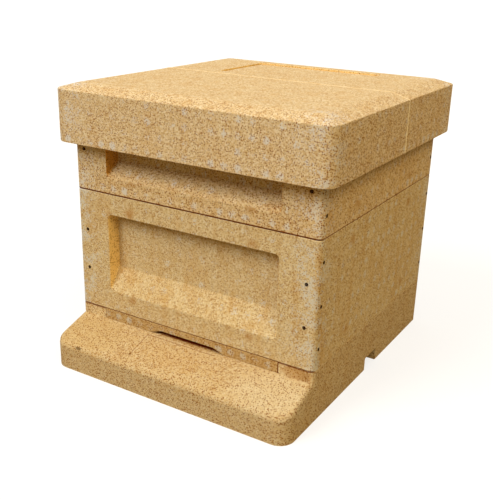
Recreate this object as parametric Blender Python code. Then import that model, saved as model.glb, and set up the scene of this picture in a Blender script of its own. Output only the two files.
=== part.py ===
"""Polystyrene beehive on frames of the British National size.

From the ground up: a floor with its landing board, entrance block, mesh and tray, a brood box of
finger-jointed walls with eleven frames, a queen excluder, a super with nine frames, a crown board
and a telescoping roof. Each of them is built round its own origin and stands on an empty, which is
where it slides from. Metres, +Z up, the entrance faces -Y.
"""

import math

import bmesh
import bpy
from mathutils import Vector

# Plan of the floor and both boxes
BODY_WIDTH = 0.495
BODY_DEPTH = 0.495
SIDE_WALL = 0.041
END_WALL = 0.0615
BODY_CORNER = 0.009
BROOD_HEIGHT = 0.225
SUPER_HEIGHT = 0.150

# Gaps between pieces, and how far a cutter runs past what it cuts
STACK_GAP = 0.0003
SEAM = 0.0003
SEAT_GAP = 0.0003
OVERRUN = 0.004

# Finger joints at the corners of a box
FINGER_PITCH = 0.0375

# Hand recesses in the front and back walls: undercut at the top, a long slope at the bottom
RECESS_INSET = 0.0715
RECESS_CORNER = 0.008
RECESS_DRAFT = 0.002
BROOD_RECESS_DEPTH = 0.024
BROOD_RECESS_LOW = 0.039
BROOD_RECESS_DROP = 0.0375
BROOD_RECESS_SLOPE = 0.0425
SUPER_RECESS_DEPTH = 0.030
SUPER_RECESS_LOW = 0.030
SUPER_RECESS_DROP = 0.042
SUPER_RECESS_SLOPE = 0.027

# Rebate for the frames' lugs, and the metal strip in it
REBATE_REACH = 0.034
REBATE_DEPTH = 0.022
RUNNER_SHEET = 0.001
RUNNER_SETBACK = 0.002
RUNNER_FOOT = 0.016
RUNNER_END_GAP = 0.0006
CASTELLATION_RISE = 0.006
CASTELLATION_PLAY = 0.0006

# Queen excluder and the seat round the top of the brood box
EXCLUDER_LAP = 0.008
EXCLUDER_PLAY = 0.0005
EXCLUDER_SHEET = 0.0016
EXCLUDER_GAP = 0.0042
EXCLUDER_PITCH = 0.010
EXCLUDER_CROSS_BAR = 0.009
EXCLUDER_SLOT_ROWS = 3

# Frames
BROOD_FRAMES = 11
SUPER_FRAMES = 9
FRAME_SIDE_SPACE = 0.014
FRAME_TOP_DROP = 0.004
FRAME_BOTTOM_SPACE = 0.0055
BEE_SPACE = 0.008
LUG_END_GAP = 0.004
BAR_WIDTH = 0.022
TOP_BAR = 0.0095
TOP_BAR_RIB = 0.004
SIDE_BAR = 0.0095
BOTTOM_BAR = 0.009
SHOULDER_HEIGHT = 0.070
SHOULDER_TAPER = 0.012
GROOVE_WIDTH = 0.0026
GROOVE_DEPTH = 0.003
FOUNDATION_SHEET = 0.002

# Floor
FLOOR_HEIGHT = 0.0975
ENTRANCE_HEIGHT = 0.0205
ENTRANCE_WIDTH = 0.374
ENTRANCE_OFFSET = -0.004
LANDING_REACH = 0.083
LANDING_FRONT_DROP = 0.047
LANDING_CORNER = 0.0275
LANDING_EDGE = 0.008
CHANNEL_WIDTH = 0.050
CHANNEL_HEIGHT = 0.0245
CHANNEL_FROM_BACK = 0.223
CHANNEL_CORNER = 0.003
MESH_DROP = 0.026
MESH_LEDGE = 0.012
MESH_SHEET = 0.001
MESH_HEM = 0.009
MESH_HEM_HEIGHT = 0.0025
MESH_PLAY = 0.0006

# Entrance block
BLOCK_DEPTH = 0.040
BLOCK_PLAY = 0.0006
SLOT_HEIGHT = 0.008
SLOT_LOW_WIDTH = 0.160
SLOT_HIGH_WIDTH = 0.112

# Inspection tray in its slot
TRAY_DROP = 0.044
TRAY_SLOT = 0.010
TRAY_GROOVE = 0.006
TRAY_PLAY = 0.001
TRAY_SHEET = 0.003
TRAY_RIM = 0.003
TRAY_RIM_HEIGHT = 0.008
TRAY_FLAP_SHEET = 0.004
TRAY_FLAP_HEIGHT = 0.024
TRAY_FLAP_LAP = 0.006

# Crown board
CROWN_INSET = 0.002
CROWN_SHEET = 0.0055
CROWN_RIM_HEIGHT = 0.0065
CROWN_RIM_WIDTH = 0.020
FEED_HOLE_LENGTH = 0.108
FEED_HOLE_WIDTH = 0.044

# Roof
ROOF_SIDE_WALL = 0.0205
ROOF_END_WALL = 0.0248
ROOF_PLAY = 0.0025
ROOF_CEILING = 0.0284
ROOF_COVER = 0.0614
ROOF_CORNER = 0.0255
ROOF_INNER_CORNER = 0.008
ROOF_HIP_WIDTH = 0.033
ROOF_HIP_HEIGHT = 0.0098
ROOF_TOP_CORNER = 0.006
ROOF_PANEL_WIDTH = 0.274
ROOF_PANEL_DEPTH = 0.160
ROOF_PANEL_FROM_BACK = 0.063
ROOF_PANEL_CORNER = 0.004
ROOF_PANEL_SINK = 0.003

CORNER_STEPS = 4

# Colours, linear
STRAW = (0.52, 0.33, 0.12, 1)
PALE_STRAW = (0.60, 0.40, 0.17, 1)
PINE = (0.62, 0.40, 0.20, 1)
WAX = (0.72, 0.46, 0.10, 1)
ZINC = (0.55, 0.56, 0.57, 1)
PLYWOOD = (0.58, 0.36, 0.18, 1)
WHITE_PLASTIC = (0.80, 0.80, 0.78, 1)

# Sizes that follow
INNER_WIDTH = BODY_WIDTH - 2 * SIDE_WALL
INNER_DEPTH = BODY_DEPTH - 2 * END_WALL
FRONT = -BODY_DEPTH / 2
BACK = BODY_DEPTH / 2
ROOF_INNER_WIDTH = BODY_WIDTH + 2 * ROOF_PLAY
ROOF_INNER_DEPTH = BODY_DEPTH + 2 * ROOF_PLAY
BODY_Y = (LANDING_REACH - ROOF_PLAY - ROOF_END_WALL) / 2

LUG_DROP = FRAME_TOP_DROP + TOP_BAR
FRAME_LENGTH = INNER_DEPTH - 2 * BEE_SPACE
TOP_BAR_LENGTH = INNER_DEPTH + 2 * (REBATE_REACH - LUG_END_GAP)
BROOD_PITCH = (INNER_WIDTH - 2 * FRAME_SIDE_SPACE) / BROOD_FRAMES
SUPER_PITCH = (INNER_WIDTH - 2 * FRAME_SIDE_SPACE) / SUPER_FRAMES

EXCLUDER_SEAT = EXCLUDER_SHEET + 2 * SEAT_GAP
BROOD_Z = FLOOR_HEIGHT + STACK_GAP
EXCLUDER_Z = BROOD_Z + BROOD_HEIGHT - EXCLUDER_SEAT + SEAT_GAP
SUPER_Z = BROOD_Z + BROOD_HEIGHT + STACK_GAP
CROWN_Z = SUPER_Z + SUPER_HEIGHT + STACK_GAP
ROOF_Z = SUPER_Z + SUPER_HEIGHT - ROOF_COVER
ROOF_CEILING_Z = CROWN_Z + CROWN_RIM_HEIGHT + SEAM + CROWN_SHEET + STACK_GAP


def clear_scene():
    for item in list(bpy.data.objects):
        bpy.data.objects.remove(item, do_unlink=True)


def material(name, colour, roughness, metallic=0.0):
    made = bpy.data.materials.new(name)
    made.use_nodes = True
    shader = made.node_tree.nodes["Principled BSDF"]
    shader.inputs["Base Color"].default_value = colour
    shader.inputs["Roughness"].default_value = roughness
    shader.inputs["Metallic"].default_value = metallic
    made.diffuse_color = colour
    return made


def empty(name, location, parent=None):
    """An empty that a body is built on. It slides from here."""
    made = bpy.data.objects.new(name, None)
    bpy.context.scene.collection.objects.link(made)
    made.location = location
    made.parent = parent
    return made


def to_object(shape, name):
    """Turns a bmesh into an object, with its faces pointing out."""
    bmesh.ops.recalc_face_normals(shape, faces=shape.faces)
    if shape.calc_volume(signed=True) < 0:
        bmesh.ops.reverse_faces(shape, faces=shape.faces)
    mesh = bpy.data.meshes.new(name)
    shape.to_mesh(mesh)
    shape.free()
    made = bpy.data.objects.new(name, mesh)
    bpy.context.scene.collection.objects.link(made)
    return made


def place(piece, name, finish, parent, location=(0, 0, 0)):
    """Names a finished piece, gives it its material and puts it on its body's empty."""
    piece.name = name
    piece.data.name = name
    piece.data.materials.clear()
    piece.data.materials.append(finish)
    piece.parent = parent
    piece.location = location
    return piece


def rounded_rectangle(width, depth, radius):
    """Corner arcs of a rectangle round (0, 0), anticlockwise."""
    points = []
    for quarter, (side, end) in enumerate(((1, 1), (-1, 1), (-1, -1), (1, -1))):
        centre = Vector((side * (width / 2 - radius), end * (depth / 2 - radius)))
        for step in range(CORNER_STEPS + 1):
            angle = math.pi / 2 * (quarter + step / CORNER_STEPS)
            points.append(centre + radius * Vector((math.cos(angle), math.sin(angle))))
    return points


def round_ended(length, width):
    """Outline of a hole with half-round ends at both ends of its length, anticlockwise."""
    points = []
    for side in (1, -1):
        centre = Vector((side * (length - width) / 2, 0))
        for step in range(2 * CORNER_STEPS + 1):
            angle = math.pi * (step / (2 * CORNER_STEPS) - side / 2)
            points.append(centre + width / 2 * Vector((math.cos(angle), math.sin(angle))))
    return points


def level_ring(z, width, depth, radius):
    """A rounded rectangle lying at one height."""
    return [Vector((p.x, p.y, z)) for p in rounded_rectangle(width, depth, radius)]


def upright_ring(y, low, high, width, radius):
    """A rounded rectangle standing at one depth, between two heights."""
    middle = (low + high) / 2
    return [Vector((p.x, y, p.y + middle)) for p in rounded_rectangle(width, high - low, radius)]


def loft(name, rings, endless=False):
    """A solid through rings of equally many points, capped at both ends, or joined end to start."""
    shape = bmesh.new()
    loops = [[shape.verts.new(point) for point in ring] for ring in rings]
    count = len(loops[0])
    pairs = list(zip(loops, loops[1:]))
    if endless:
        pairs.append((loops[-1], loops[0]))
    else:
        shape.faces.new(loops[0])
        shape.faces.new(loops[-1])
    for lower, upper in pairs:
        for i in range(count):
            j = (i + 1) % count
            shape.faces.new((lower[i], lower[j], upper[j], upper[i]))
    return to_object(shape, name)


def extrusion(name, outline, axis, start, end):
    """A solid from an outline in the two other axes, run along an axis from start to end."""
    shape = bmesh.new()
    spots = {
        "x": lambda a, b: (start, a, b),
        "y": lambda a, b: (a, start, b),
        "z": lambda a, b: (a, b, start),
    }
    face = shape.faces.new([shape.verts.new(spots[axis](a, b)) for a, b in outline])
    swept = bmesh.ops.extrude_face_region(shape, geom=[face])
    moved = [item for item in swept["geom"] if isinstance(item, bmesh.types.BMVert)]
    run = Vector([end - start if letter == axis else 0 for letter in "xyz"])
    bmesh.ops.translate(shape, verts=moved, vec=run)
    return to_object(shape, name)


def block(name, low, high):
    """A box between two corners."""
    outline = [(low[0], low[1]), (high[0], low[1]), (high[0], high[1]), (low[0], high[1])]
    return extrusion(name, outline, "z", low[2], high[2])


def round_edges(piece, radius, steps, wanted):
    """Rounds the edges whose two end points satisfy wanted."""
    shape = bmesh.new()
    shape.from_mesh(piece.data)
    edges = [edge for edge in shape.edges if wanted(edge.verts[0].co, edge.verts[1].co)]
    bmesh.ops.bevel(
        shape, geom=edges, offset=radius, offset_type="OFFSET", affect="EDGES",
        segments=steps, profile=0.5, material=-1,
    )
    shape.to_mesh(piece.data)
    shape.free()
    return piece


def upright(a, b):
    """Whether an edge stands upright."""
    return (a - b).xy.length < SEAM and abs(a.z - b.z) > SEAM


def combine(piece, tools, operation):
    """Applies Booleans to a piece, one after another, and removes the tools."""
    for tool in tools:
        change = piece.modifiers.new(tool.name, "BOOLEAN")
        change.solver = "EXACT"
        change.operation = operation
        change.object = tool
    bpy.context.view_layer.update()
    seen = piece.evaluated_get(bpy.context.evaluated_depsgraph_get())
    mesh = bpy.data.meshes.new_from_object(seen)
    piece.modifiers.clear()
    piece.data = mesh
    for tool in tools:
        bpy.data.objects.remove(tool, do_unlink=True)
    return piece


def cut(piece, *tools):
    return combine(piece, tools, "DIFFERENCE")


def join(piece, *tools):
    return combine(piece, tools, "UNION")


def tidy_faces(piece):
    """Merges flat neighbouring faces and shades the round ones smooth."""
    shape = bmesh.new()
    shape.from_mesh(piece.data)
    bmesh.ops.dissolve_limit(
        shape, angle_limit=math.radians(0.05), verts=shape.verts, edges=shape.edges, delimit=set(),
    )
    shape.to_mesh(piece.data)
    shape.free()
    piece.data.shade_smooth()
    piece.data.set_sharp_from_angle(angle=math.radians(30))
    return piece


def finger_edges(height):
    """Heights between the fingers of a corner joint: a screw to each finger, a pitch apart."""
    fingers = max(2, round(height / FINGER_PITCH) - 1)
    pitch = height / (fingers + 1)
    inner = [pitch * (k + 1 + 1 / 2) for k in range(fingers - 1)]
    return [0, *inner, height]


def finger_spans(height, first):
    """Every second finger's span of height, from the first or the second one on."""
    edges = finger_edges(height)
    return list(zip(edges, edges[1:]))[first::2]


def recess_tool(height, depth, low, drop, slope):
    """Cutter for a hand recess in the front wall, drafted like the mould that makes it."""
    width = BODY_WIDTH - 2 * RECESS_INSET
    high = height - drop
    inner_width = width - 2 * RECESS_DRAFT
    inner = upright_ring(FRONT + depth, low + slope, high - RECESS_DRAFT, inner_width, RECESS_CORNER)
    face = upright_ring(FRONT, low, high, width, RECESS_CORNER)
    outside = upright_ring(FRONT - OVERRUN, low, high, width, RECESS_CORNER)
    return loft("recess", [outside, face, inner])


def rebate_tool(height):
    """Cutter for the shelf that the frames' lugs hang in, along the top of a front wall."""
    back = FRONT + END_WALL
    low = (-BODY_WIDTH / 2 - OVERRUN, back - REBATE_REACH, height - REBATE_DEPTH)
    high = (BODY_WIDTH / 2 + OVERRUN, back + OVERRUN, height + OVERRUN)
    return block("rebate", low, high)


def seat_tool(height):
    """Cutter for the shallow seat that the queen excluder lies in."""
    half_width = INNER_WIDTH / 2 + EXCLUDER_LAP
    half_depth = INNER_DEPTH / 2 + REBATE_REACH + EXCLUDER_LAP
    low = (-half_width, -half_depth, height - EXCLUDER_SEAT)
    high = (half_width, half_depth, height + OVERRUN)
    return block("seat", low, high)


def end_wall(name, height, recess, seat):
    """The front wall of a box. Its fingers fill the corner between the side walls' fingers."""
    outline = rounded_rectangle(BODY_WIDTH, BODY_DEPTH, BODY_CORNER)
    wall = extrusion(name, [(p.x, p.y) for p in outline], "z", 0, height)
    behind = (-BODY_WIDTH / 2 - OVERRUN, FRONT + END_WALL, -OVERRUN)
    beyond = (BODY_WIDTH / 2 + OVERRUN, BACK + OVERRUN, height + OVERRUN)
    tools = [block("behind", behind, beyond), recess_tool(height, *recess), rebate_tool(height)]
    if seat:
        tools.append(seat_tool(height))
    for side in (-1, 1):
        for low, high in finger_spans(height, 0):
            inner = side * (INNER_WIDTH / 2 - SEAM)
            outer = side * (BODY_WIDTH / 2 + OVERRUN)
            under = low - (SEAM if low else OVERRUN)
            over = high + (SEAM if high < height else OVERRUN)
            corner = (min(inner, outer), FRONT - OVERRUN, under)
            tools.append(block("notch", corner, (max(inner, outer), FRONT + END_WALL + OVERRUN, over)))
    return tidy_faces(cut(wall, *tools))


def side_wall(name, height, seat):
    """The right-hand wall of a box, with the lowest and highest finger of each corner."""
    outline = rounded_rectangle(BODY_WIDTH, BODY_DEPTH, BODY_CORNER)
    wall = extrusion(name, [(p.x, p.y) for p in outline], "z", 0, height)
    beside = (-BODY_WIDTH / 2 - OVERRUN, FRONT - OVERRUN, -OVERRUN)
    beyond = (INNER_WIDTH / 2, BACK + OVERRUN, height + OVERRUN)
    tools = [block("beside", beside, beyond)]
    if seat:
        tools.append(seat_tool(height))
    for end in (-1, 1):
        for low, high in finger_spans(height, 1):
            inner = end * (INNER_DEPTH / 2 - SEAM)
            outer = end * (BODY_DEPTH / 2 + OVERRUN)
            corner = (INNER_WIDTH / 2 - OVERRUN, min(inner, outer), low - SEAM)
            beyond = (BODY_WIDTH / 2 + OVERRUN, max(inner, outer), high + SEAM)
            tools.append(block("notch", corner, beyond))
    return tidy_faces(cut(wall, *tools))


def turned(piece, name):
    """The same piece turned half round the upright axis, for the other end or side."""
    shape = bmesh.new()
    shape.from_mesh(piece.data)
    for vertex in shape.verts:
        vertex.co = Vector((-vertex.co.x, -vertex.co.y, vertex.co.z))
    return to_object(shape, name)


def make_walls(prefix, height, recess, seat, finish, parent):
    front = end_wall("front", height, recess, seat)
    right = side_wall("right", height, seat)
    back = turned(front, "back")
    left = turned(right, "left")
    for piece, side in ((front, "front"), (back, "back"), (left, "left"), (right, "right")):
        place(tidy_faces(piece), f"{prefix}_{side}_wall", finish, parent)


def runner_outline(top):
    """Section of a folded strip: a foot on the rebate and an upstand that the lugs rest on."""
    inner_face = FRONT + END_WALL - RUNNER_SETBACK
    return [
        (inner_face, 0),
        (inner_face, top),
        (inner_face - RUNNER_SHEET, top),
        (inner_face - RUNNER_SHEET, RUNNER_SHEET),
        (inner_face - RUNNER_FOOT, RUNNER_SHEET),
        (inner_face - RUNNER_FOOT, 0),
    ]


def runner(name):
    """The plain strip in the front rebate of the brood box."""
    length = INNER_WIDTH - 2 * RUNNER_END_GAP
    top = REBATE_DEPTH - LUG_DROP - 2 * SEAT_GAP
    return extrusion(name, runner_outline(top), "x", -length / 2, length / 2)


def castellation(name):
    """The notched strip in the front rebate of the super, which spaces the frames."""
    length = INNER_WIDTH - 2 * RUNNER_END_GAP
    seat = REBATE_DEPTH - LUG_DROP - 2 * SEAT_GAP
    strip = extrusion(name, runner_outline(seat + CASTELLATION_RISE), "x", -length / 2, length / 2)
    inner_face = FRONT + END_WALL - RUNNER_SETBACK
    half = BAR_WIDTH / 2 + CASTELLATION_PLAY
    tools = []
    for x in frame_places(SUPER_FRAMES, SUPER_PITCH):
        low = (x - half, inner_face - RUNNER_SHEET - OVERRUN, seat)
        high = (x + half, inner_face + OVERRUN, seat + CASTELLATION_RISE + OVERRUN)
        tools.append(block("notch", low, high))
    return tidy_faces(cut(strip, *tools))


def frame_places(count, pitch):
    return [(i - (count - 1) / 2) * pitch for i in range(count)]


def frame(name, height, shoulder_width):
    """A frame, its foot at z = 0: top bar with lugs, side bars and a pair of bottom bars."""
    half_length = FRAME_LENGTH / 2
    half_top = TOP_BAR_LENGTH / 2
    lug_under = height - TOP_BAR
    outline = [
        (-half_top, height), (-half_top, lug_under), (-half_length, lug_under), (-half_length, 0),
        (half_length, 0), (half_length, lug_under), (half_top, lug_under), (half_top, height),
    ]
    piece = extrusion(name, outline, "x", -BAR_WIDTH / 2, BAR_WIDTH / 2)
    window = half_length - SIDE_BAR
    window_top = lug_under - TOP_BAR_RIB
    opening = block(
        "opening", (-BAR_WIDTH / 2 - OVERRUN, -window, BOTTOM_BAR),
        (BAR_WIDTH / 2 + OVERRUN, window, window_top),
    )
    piece = cut(piece, opening)
    if shoulder_width:
        shoulder_low = lug_under - SHOULDER_HEIGHT
        wide = shoulder_width / 2
        narrow = BAR_WIDTH / 2 - SEAM
        section = [
            (-narrow, shoulder_low - SHOULDER_TAPER), (narrow, shoulder_low - SHOULDER_TAPER),
            (wide, shoulder_low), (wide, lug_under), (-wide, lug_under), (-wide, shoulder_low),
        ]
        ends = ((-half_length, -window), (window, half_length))
        piece = join(piece, *[extrusion("shoulder", section, "y", *span) for span in ends])
    groove = block(
        "groove", (-GROOVE_WIDTH / 2, -window - GROOVE_DEPTH, -OVERRUN),
        (GROOVE_WIDTH / 2, window + GROOVE_DEPTH, window_top + GROOVE_DEPTH),
    )
    return tidy_faces(cut(piece, groove))


def foundation(name, height):
    """The wax sheet in the grooves of a frame."""
    reach = FRAME_LENGTH / 2 - SIDE_BAR + GROOVE_DEPTH - SEAT_GAP
    top = height - TOP_BAR - TOP_BAR_RIB + GROOVE_DEPTH - SEAT_GAP
    low = (-FOUNDATION_SHEET / 2, -reach, SEAT_GAP)
    return block(name, low, (FOUNDATION_SHEET / 2, reach, top))


def make_frames(prefix, count, pitch, box_height, shoulder_width, wood, wax, parent):
    """Hangs the frames of a box in a row, each with its wax sheet."""
    height = box_height - FRAME_TOP_DROP - FRAME_BOTTOM_SPACE
    timber = frame("timber", height, shoulder_width)
    sheet = foundation("sheet", height)
    for number, x in enumerate(frame_places(count, pitch), 1):
        for pattern, kind, finish in ((timber, "frame", wood), (sheet, "foundation", wax)):
            copy = bpy.data.objects.new(f"{prefix}_{kind}_{number:02d}", pattern.data)
            bpy.context.scene.collection.objects.link(copy)
            place(copy, copy.name, finish, parent, (x, 0, FRAME_BOTTOM_SPACE))
    bpy.data.objects.remove(timber, do_unlink=True)
    bpy.data.objects.remove(sheet, do_unlink=True)


def spaced_lines(edge, count, gap, bar):
    """Both edges of every gap in a row that is centred between -edge and edge."""
    run = count * gap + (count - 1) * bar
    lines = [-edge]
    for i in range(count):
        start = -run / 2 + i * (gap + bar)
        lines += [start, start + gap]
    return [*lines, edge]


def queen_excluder(finish, parent):
    """A flat sheet with slots that workers pass and the queen does not."""
    half_width = INNER_WIDTH / 2 + EXCLUDER_LAP - EXCLUDER_PLAY
    half_depth = INNER_DEPTH / 2 + REBATE_REACH + EXCLUDER_LAP - EXCLUDER_PLAY
    columns = int(INNER_WIDTH / EXCLUDER_PITCH)
    slot_length = (INNER_DEPTH - (EXCLUDER_SLOT_ROWS + 1) * EXCLUDER_CROSS_BAR) / EXCLUDER_SLOT_ROWS
    across = spaced_lines(half_width, columns, EXCLUDER_GAP, EXCLUDER_PITCH - EXCLUDER_GAP)
    along = spaced_lines(half_depth, EXCLUDER_SLOT_ROWS, slot_length, EXCLUDER_CROSS_BAR)
    shape = bmesh.new()
    grid = [[shape.verts.new((x, y, 0)) for y in along] for x in across]
    for i in range(len(across) - 1):
        for j in range(len(along) - 1):
            slot = i % 2 and j % 2
            if not slot:
                shape.faces.new((grid[i][j], grid[i + 1][j], grid[i + 1][j + 1], grid[i][j + 1]))
    swept = bmesh.ops.extrude_face_region(shape, geom=list(shape.faces))
    moved = [item for item in swept["geom"] if isinstance(item, bmesh.types.BMVert)]
    bmesh.ops.translate(shape, verts=moved, vec=(0, 0, EXCLUDER_SHEET))
    place(to_object(shape, "excluder"), "queen_excluder", finish, parent)


def landing_board():
    """The sloping board in front of the entrance, with its back end sunk in the floor."""
    slope = (LANDING_FRONT_DROP - ENTRANCE_HEIGHT) / LANDING_REACH
    sunk = END_WALL / 2
    lip = FRONT - LANDING_REACH
    outline = [
        (lip, 0),
        (FRONT + sunk, 0),
        (FRONT + sunk, FLOOR_HEIGHT - ENTRANCE_HEIGHT + slope * sunk),
        (lip, FLOOR_HEIGHT - LANDING_FRONT_DROP),
    ]
    board = extrusion("board", outline, "x", -BODY_WIDTH / 2, BODY_WIDTH / 2)

    def front_corner(a, b):
        return upright(a, b) and a.y < lip + SEAM

    def top_edge(a, b):
        above = min(a.z, b.z) > FLOOR_HEIGHT - LANDING_FRONT_DROP - SEAM
        return above and min(a.y, b.y) < FRONT + sunk - SEAM

    round_edges(board, LANDING_CORNER, 2 * CORNER_STEPS, front_corner)
    return round_edges(board, LANDING_EDGE, CORNER_STEPS - 1, top_edge)


def floor_base(finish, parent):
    """The moulded floor: an open well with a ledge for the mesh, and slots for block and tray."""
    outline = rounded_rectangle(BODY_WIDTH, BODY_DEPTH, BODY_CORNER)
    base = extrusion("base", [(p.x, p.y) for p in outline], "z", 0, FLOOR_HEIGHT)
    base = join(base, landing_board())

    half_width = INNER_WIDTH / 2
    half_depth = INNER_DEPTH / 2
    ledge_z = FLOOR_HEIGHT - MESH_DROP - MESH_HEM_HEIGHT - SEAT_GAP
    sill_z = FLOOR_HEIGHT - ENTRANCE_HEIGHT
    over = FLOOR_HEIGHT + OVERRUN
    well = block("well", (-half_width, -half_depth, ledge_z), (half_width, half_depth, over))
    low = (MESH_LEDGE - half_width, MESH_LEDGE - half_depth, -OVERRUN)
    pit = block("pit", low, (half_width - MESH_LEDGE, half_depth - MESH_LEDGE, over))

    left = ENTRANCE_OFFSET - ENTRANCE_WIDTH / 2
    right = ENTRANCE_OFFSET + ENTRANCE_WIDTH / 2
    mouth = block("mouth", (left, FRONT - OVERRUN, sill_z), (right, OVERRUN - half_depth, over))

    slot_low = FLOOR_HEIGHT - TRAY_DROP - TRAY_SLOT
    groove = half_width - MESH_LEDGE + TRAY_GROOVE
    slot = block(
        "slot", (-groove, MESH_LEDGE - half_depth - TRAY_GROOVE, slot_low),
        (groove, BACK + OVERRUN, slot_low + TRAY_SLOT),
    )

    channel_back = BACK - CHANNEL_FROM_BACK
    channel = block(
        "channel", (-BODY_WIDTH / 2 - OVERRUN, channel_back - CHANNEL_WIDTH, -OVERRUN),
        (BODY_WIDTH / 2 + OVERRUN, channel_back, CHANNEL_HEIGHT),
    )

    def channel_top(a, b):
        return min(a.z, b.z) > 0 and abs(a.x - b.x) > BODY_WIDTH

    round_edges(channel, CHANNEL_CORNER, 2, channel_top)
    base = cut(base, well, pit, mouth, slot, channel)
    place(tidy_faces(base), "floor_base", finish, parent)


def entrance_block(finish, parent):
    """The block that narrows the entrance to a low slot. It pulls out forwards."""
    half = ENTRANCE_WIDTH / 2 - BLOCK_PLAY
    top = ENTRANCE_HEIGHT - 2 * SEAT_GAP
    low = SLOT_LOW_WIDTH / 2
    high = SLOT_HIGH_WIDTH / 2
    outline = [
        (-half, 0), (-low, 0), (-high, SLOT_HEIGHT), (high, SLOT_HEIGHT), (low, 0), (half, 0),
        (half, top), (-half, top),
    ]
    place(extrusion("block", outline, "y", 0, BLOCK_DEPTH), "entrance_block", finish, parent)


def floor_mesh(finish, parent):
    """The mesh sheet with its folded hem, on the ledge of the floor."""
    width = INNER_WIDTH - 2 * MESH_PLAY
    depth = INNER_DEPTH - 2 * MESH_PLAY
    inner_width = width - 2 * MESH_HEM
    inner_depth = depth - 2 * MESH_HEM
    corner = MESH_HEM / 3
    rings = [
        level_ring(0, width, depth, corner),
        level_ring(MESH_HEM_HEIGHT, width, depth, corner),
        level_ring(MESH_HEM_HEIGHT, inner_width, inner_depth, corner),
        level_ring(MESH_SHEET, inner_width, inner_depth, corner),
    ]
    z = FLOOR_HEIGHT - MESH_DROP - MESH_HEM_HEIGHT
    place(tidy_faces(loft("mesh", rings)), "floor_mesh", finish, parent, (0, 0, z))


def inspection_tray(finish, parent):
    """The tray under the mesh: a shallow pan, with a flap that closes its slot at the back."""
    half_width = INNER_WIDTH / 2 - MESH_LEDGE + TRAY_GROOVE - TRAY_PLAY
    front = MESH_LEDGE - INNER_DEPTH / 2 - TRAY_GROOVE + TRAY_PLAY
    flap_front = BACK + SEAT_GAP
    pan = block("pan", (-half_width, front, 0), (half_width, flap_front + SEAM, TRAY_RIM_HEIGHT))
    hollow = block(
        "hollow", (TRAY_RIM - half_width, front + TRAY_RIM, TRAY_SHEET),
        (half_width - TRAY_RIM, BACK - END_WALL / 2, TRAY_RIM_HEIGHT + OVERRUN),
    )
    pan = cut(pan, hollow)
    reach = half_width + TRAY_FLAP_LAP
    middle = TRAY_RIM_HEIGHT / 2
    flap = block(
        "flap", (-reach, flap_front, middle - TRAY_FLAP_HEIGHT / 2),
        (reach, flap_front + TRAY_FLAP_SHEET, middle + TRAY_FLAP_HEIGHT / 2),
    )
    place(tidy_faces(join(pan, flap)), "inspection_tray", finish, parent)


def crown_board(wood, ply, parent):
    """A sheet of plywood with two feed holes, on a timber rim that leaves room for the bees."""
    width = BODY_WIDTH - 2 * CROWN_INSET
    depth = BODY_DEPTH - 2 * CROWN_INSET
    inner_width = width - 2 * CROWN_RIM_WIDTH
    inner_depth = depth - 2 * CROWN_RIM_WIDTH
    corner = CROWN_INSET
    rim = loft("rim", [
        level_ring(0, width, depth, corner),
        level_ring(CROWN_RIM_HEIGHT, width, depth, corner),
        level_ring(CROWN_RIM_HEIGHT, inner_width, inner_depth, corner),
        level_ring(0, inner_width, inner_depth, corner),
    ], endless=True)
    place(tidy_faces(rim), "crown_board_rim", wood, parent)

    sheet = loft("sheet", [
        level_ring(0, width, depth, corner),
        level_ring(CROWN_SHEET, width, depth, corner),
    ])
    holes = []
    for y in (0, -depth / 3):
        outline = [(p.x, p.y + y) for p in round_ended(FEED_HOLE_LENGTH, FEED_HOLE_WIDTH)]
        holes.append(extrusion("hole", outline, "z", -OVERRUN, CROWN_SHEET + OVERRUN))
    sheet = cut(sheet, *holes)
    place(tidy_faces(sheet), "crown_board", ply, parent, (0, 0, CROWN_RIM_HEIGHT + SEAM))


def roof_panel_tool(top, depth):
    """Cutter for the sunk panel that the mould leaves in the back half of the roof's top."""
    back = depth / 2 - ROOF_PANEL_FROM_BACK
    middle = back - ROOF_PANEL_DEPTH / 2
    outline = rounded_rectangle(ROOF_PANEL_WIDTH, ROOF_PANEL_DEPTH, ROOF_PANEL_CORNER)
    places = [(p.x, p.y + middle) for p in outline]
    return extrusion("panel", places, "z", top - ROOF_PANEL_SINK, top + OVERRUN)


def roof(finish, parent):
    """A deep lid that telescopes over the super. Its top falls to a hip all round."""
    ceiling = ROOF_CEILING_Z - ROOF_Z
    top = ceiling + ROOF_CEILING
    width = ROOF_INNER_WIDTH + 2 * ROOF_SIDE_WALL
    depth = ROOF_INNER_DEPTH + 2 * ROOF_END_WALL
    top_width = width - 2 * ROOF_HIP_WIDTH
    top_depth = depth - 2 * ROOF_HIP_WIDTH
    rings = [
        level_ring(ceiling, ROOF_INNER_WIDTH, ROOF_INNER_DEPTH, ROOF_INNER_CORNER),
        level_ring(0, ROOF_INNER_WIDTH, ROOF_INNER_DEPTH, ROOF_INNER_CORNER),
        level_ring(0, width, depth, ROOF_CORNER),
        level_ring(top - ROOF_HIP_HEIGHT, width, depth, ROOF_CORNER),
        level_ring(top, top_width, top_depth, ROOF_TOP_CORNER),
    ]
    lid = cut(loft("lid", rings), roof_panel_tool(top, depth))
    place(tidy_faces(lid), "roof", finish, parent)


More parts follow.
